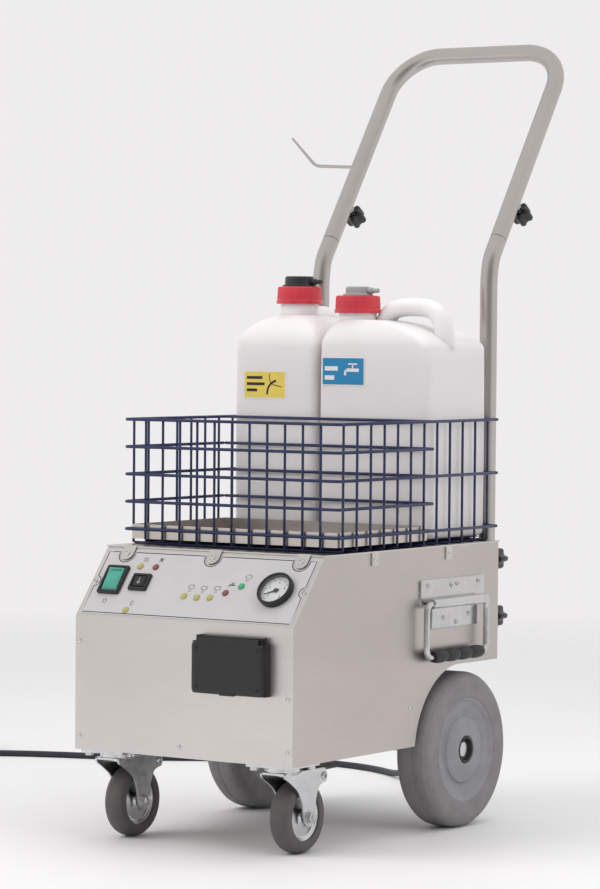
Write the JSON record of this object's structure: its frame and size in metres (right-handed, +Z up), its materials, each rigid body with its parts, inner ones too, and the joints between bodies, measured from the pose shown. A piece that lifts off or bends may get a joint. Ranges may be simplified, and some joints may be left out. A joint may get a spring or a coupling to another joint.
{
  "type": "steam cleaner",
  "caption": "Wheeled steam cleaner: steel cabinet with sloping panel, wire basket with cans, folding side handles, castors and a pull-off push handle.",
  "frame": {"origin": "middle of the machine's box, on the floor, without its mains lead", "axes": "+Z up, front panel faces -Y, +X to the machine's right as seen from the front"},
  "size_m": [1.306, 0.9162, 1.1315],
  "materials": {
    "satin_steel": "satin, lightly brushed",
    "brushed_tube": "brushed tube",
    "bright_steel": "polished",
    "zinc_steel": "zinc plated",
    "grey_overlay": "printed film",
    "black_plastic": "moulded",
    "green_lens": "translucent lens",
    "amber_lens": "translucent lens",
    "clear_lens": "clear",
    "grey_rubber": "smooth grey",
    "dark_rubber": "smooth dark grey",
    "blue_wire": "plastic coated wire",
    "milky_plastic": "translucent milky",
    "red_cap": "moulded",
    "cord_rubber": "smooth jacket"
  },
  "bodies": {
    "chassis": {"base_pan": "satin_steel", "front_panel": "satin_steel", "side_panel_left": "satin_steel", "side_panel_right": "satin_steel", "rear_panel": "satin_steel", "top_lid": "satin_steel", "fascia_overlay": "grey_overlay", "cover_screws": "bright_steel", "boiler": "satin_steel", "feed_pump": "black_plastic", "switch_bezels": "black_plastic", "indicator_lamps": "amber_lens", "gauge_case": "black_plastic", "gauge_lens": "clear_lens", "socket_box": "black_plastic", "side_handle_plates": "bright_steel", "castor_plates": "zinc_steel", "rear_axle": "brushed_tube", "axle_brackets": "zinc_steel", "handle_posts": "brushed_tube", "post_clamps": "black_plastic", "basket_front": "blue_wire", "basket_rear": "blue_wire", "basket_left": "blue_wire", "basket_right": "blue_wire", "basket_partition": "blue_wire", "basket_floor": "blue_wire", "cord_gland": "black_plastic", "mains_cord": "cord_rubber", "cord_coil": "cord_rubber", "mains_plug": "black_plastic"},
    "power_rocker": {"power_rocker": "green_lens"},
    "reset_rocker": {"reset_rocker": "black_plastic"},
    "gauge_needle": {"gauge_needle": "black_plastic"},
    "socket_lid": {"socket_lid": "black_plastic"},
    "side_bail_left": {"side_bail_left": "bright_steel", "bail_grip_left": "black_plastic"},
    "rear_wheel_left": {"rear_wheel_left": "grey_rubber"},
    "castor_fork_left": {"castor_fork_left": "zinc_steel"},
    "castor_wheel_left": {"castor_wheel_left": "dark_rubber"},
    "castor_pedal_left": {"castor_pedal_left": "black_plastic"},
    "upper_knob_left": {"upper_knob_left": "black_plastic"},
    "rear_knob_low_left": {"rear_knob_low_left": "black_plastic"},
    "rear_knob_high_left": {"rear_knob_high_left": "black_plastic"},
    "side_bail_right": {"side_bail_right": "bright_steel", "bail_grip_right": "black_plastic"},
    "rear_wheel_right": {"rear_wheel_right": "grey_rubber"},
    "castor_fork_right": {"castor_fork_right": "zinc_steel"},
    "castor_wheel_right": {"castor_wheel_right": "dark_rubber"},
    "castor_pedal_right": {"castor_pedal_right": "black_plastic"},
    "upper_knob_right": {"upper_knob_right": "black_plastic"},
    "rear_knob_low_right": {"rear_knob_low_right": "black_plastic"},
    "rear_knob_high_right": {"rear_knob_high_right": "black_plastic"},
    "push_handle": {"push_handle": "brushed_tube", "hose_hook": "brushed_tube"},
    "drip_tray": {"drip_tray": "satin_steel"},
    "detergent_can": {"detergent_can": "milky_plastic"},
    "water_can": {"water_can": "milky_plastic"},
    "detergent_cap": {"detergent_cap": "red_cap"},
    "water_cap": {"water_cap": "red_cap"}
  },
  "joints": [
    {"name": "power_rocker_tilt", "type": "hinge", "parent": "chassis", "child": "power_rocker", "pos_m": [-0.10762, -0.34543, 0.35551], "axis": [1, 0, 0], "range_deg": [0, 9]},
    {"name": "reset_rocker_tilt", "type": "hinge", "parent": "chassis", "child": "reset_rocker", "pos_m": [-0.06212, -0.34637, 0.35434], "axis": [1, 0, 0], "range_deg": [0, 9]},
    {"name": "gauge_needle_turn", "type": "hinge", "parent": "chassis", "child": "gauge_needle", "pos_m": [0.16338, -0.35035, 0.35496], "axis": [0, 0.78, -0.6257], "range_deg": [0, 270], "stiffness_Nm_per_rad": 0.002},
    {"name": "socket_lid_swing", "type": "hinge", "parent": "chassis", "child": "socket_lid", "pos_m": [0.11988, -0.3919, 0.29], "axis": [-1, 0, 0], "range_deg": [0, 100]},
    {"name": "side_bail_left_swing", "type": "hinge", "parent": "chassis", "child": "side_bail_left", "pos_m": [-0.15762, 0.0231, 0.322], "axis": [0, 1, 0], "range_deg": [0, 100]},
    {"name": "rear_wheel_left_roll", "type": "hinge", "parent": "chassis", "child": "rear_wheel_left", "pos_m": [-0.12762, 0.0431, 0.11], "axis": [1, 0, 0], "continuous": true},
    {"name": "castor_left_swivel", "type": "hinge", "parent": "chassis", "child": "castor_fork_left", "pos_m": [-0.10262, -0.3419, 0.1137], "axis": [0, 0, 1], "continuous": true},
    {"name": "castor_left_roll", "type": "hinge", "parent": "castor_fork_left", "child": "castor_wheel_left", "pos_m": [-0.10262, -0.3069, 0.05], "axis": [1, 0, 0], "continuous": true},
    {"name": "castor_left_brake", "type": "hinge", "parent": "castor_fork_left", "child": "castor_pedal_left", "pos_m": [-0.10262, -0.2759, 0.1027], "axis": [-1, 0, 0], "range_deg": [0, 10]},
    {"name": "upper_knob_left_turn", "type": "hinge", "parent": "push_handle", "child": "upper_knob_left", "pos_m": [-0.11062, 0.24141, 0.88305], "axis": [0, 0.8241, -0.5664], "continuous": true},
    {"name": "rear_knob_low_left_turn", "type": "hinge", "parent": "chassis", "child": "rear_knob_low_left", "pos_m": [-0.11062, 0.1796, 0.288], "axis": [0, 1, 0], "continuous": true},
    {"name": "rear_knob_high_left_turn", "type": "hinge", "parent": "chassis", "child": "rear_knob_high_left", "pos_m": [-0.11062, 0.1796, 0.371], "axis": [0, 1, 0], "continuous": true},
    {"name": "side_bail_right_swing", "type": "hinge", "parent": "chassis", "child": "side_bail_right", "pos_m": [0.22638, 0.0231, 0.322], "axis": [0, -1, 0], "range_deg": [0, 100]},
    {"name": "rear_wheel_right_roll", "type": "hinge", "parent": "chassis", "child": "rear_wheel_right", "pos_m": [0.19638, 0.0431, 0.11], "axis": [1, 0, 0], "continuous": true},
    {"name": "castor_right_swivel", "type": "hinge", "parent": "chassis", "child": "castor_fork_right", "pos_m": [0.17138, -0.3419, 0.1137], "axis": [0, 0, 1], "continuous": true},
    {"name": "castor_right_roll", "type": "hinge", "parent": "castor_fork_right", "child": "castor_wheel_right", "pos_m": [0.17138, -0.3069, 0.05], "axis": [1, 0, 0], "continuous": true},
    {"name": "castor_right_brake", "type": "hinge", "parent": "castor_fork_right", "child": "castor_pedal_right", "pos_m": [0.17138, -0.2759, 0.1027], "axis": [-1, 0, 0], "range_deg": [0, 10]},
    {"name": "upper_knob_right_turn", "type": "hinge", "parent": "push_handle", "child": "upper_knob_right", "pos_m": [0.17938, 0.24141, 0.88305], "axis": [0, 0.8241, -0.5664], "continuous": true},
    {"name": "rear_knob_low_right_turn", "type": "hinge", "parent": "chassis", "child": "rear_knob_low_right", "pos_m": [0.17938, 0.1796, 0.288], "axis": [0, 1, 0], "continuous": true},
    {"name": "rear_knob_high_right_turn", "type": "hinge", "parent": "chassis", "child": "rear_knob_high_right", "pos_m": [0.17938, 0.1796, 0.371], "axis": [0, 1, 0], "continuous": true},
    {"name": "handle_pull_off", "type": "slide", "parent": "chassis", "child": "push_handle", "axis": [0, 0.5664, 0.8241], "range_m": [0, 0.09]},
    {"name": "drip_tray_lift", "type": "slide", "parent": "chassis", "child": "drip_tray", "axis": [0, 0, 1], "range_m": [0, 0.2]},
    {"name": "detergent_can_lift", "type": "slide", "parent": "chassis", "child": "detergent_can", "axis": [0, 0, 1], "range_m": [0, 0.2]},
    {"name": "water_can_lift", "type": "slide", "parent": "chassis", "child": "water_can", "axis": [0, 0, 1], "range_m": [0, 0.2]},
    {"name": "detergent_cap_turn", "type": "hinge", "parent": "detergent_can", "child": "detergent_cap", "pos_m": [-0.06062, 0.0351, 0.738], "axis": [0, 0, 1], "continuous": true},
    {"name": "water_cap_turn", "type": "hinge", "parent": "water_can", "child": "water_cap", "pos_m": [0.05338, 0.0151, 0.725], "axis": [0, 0, 1], "continuous": true}
  ]
}
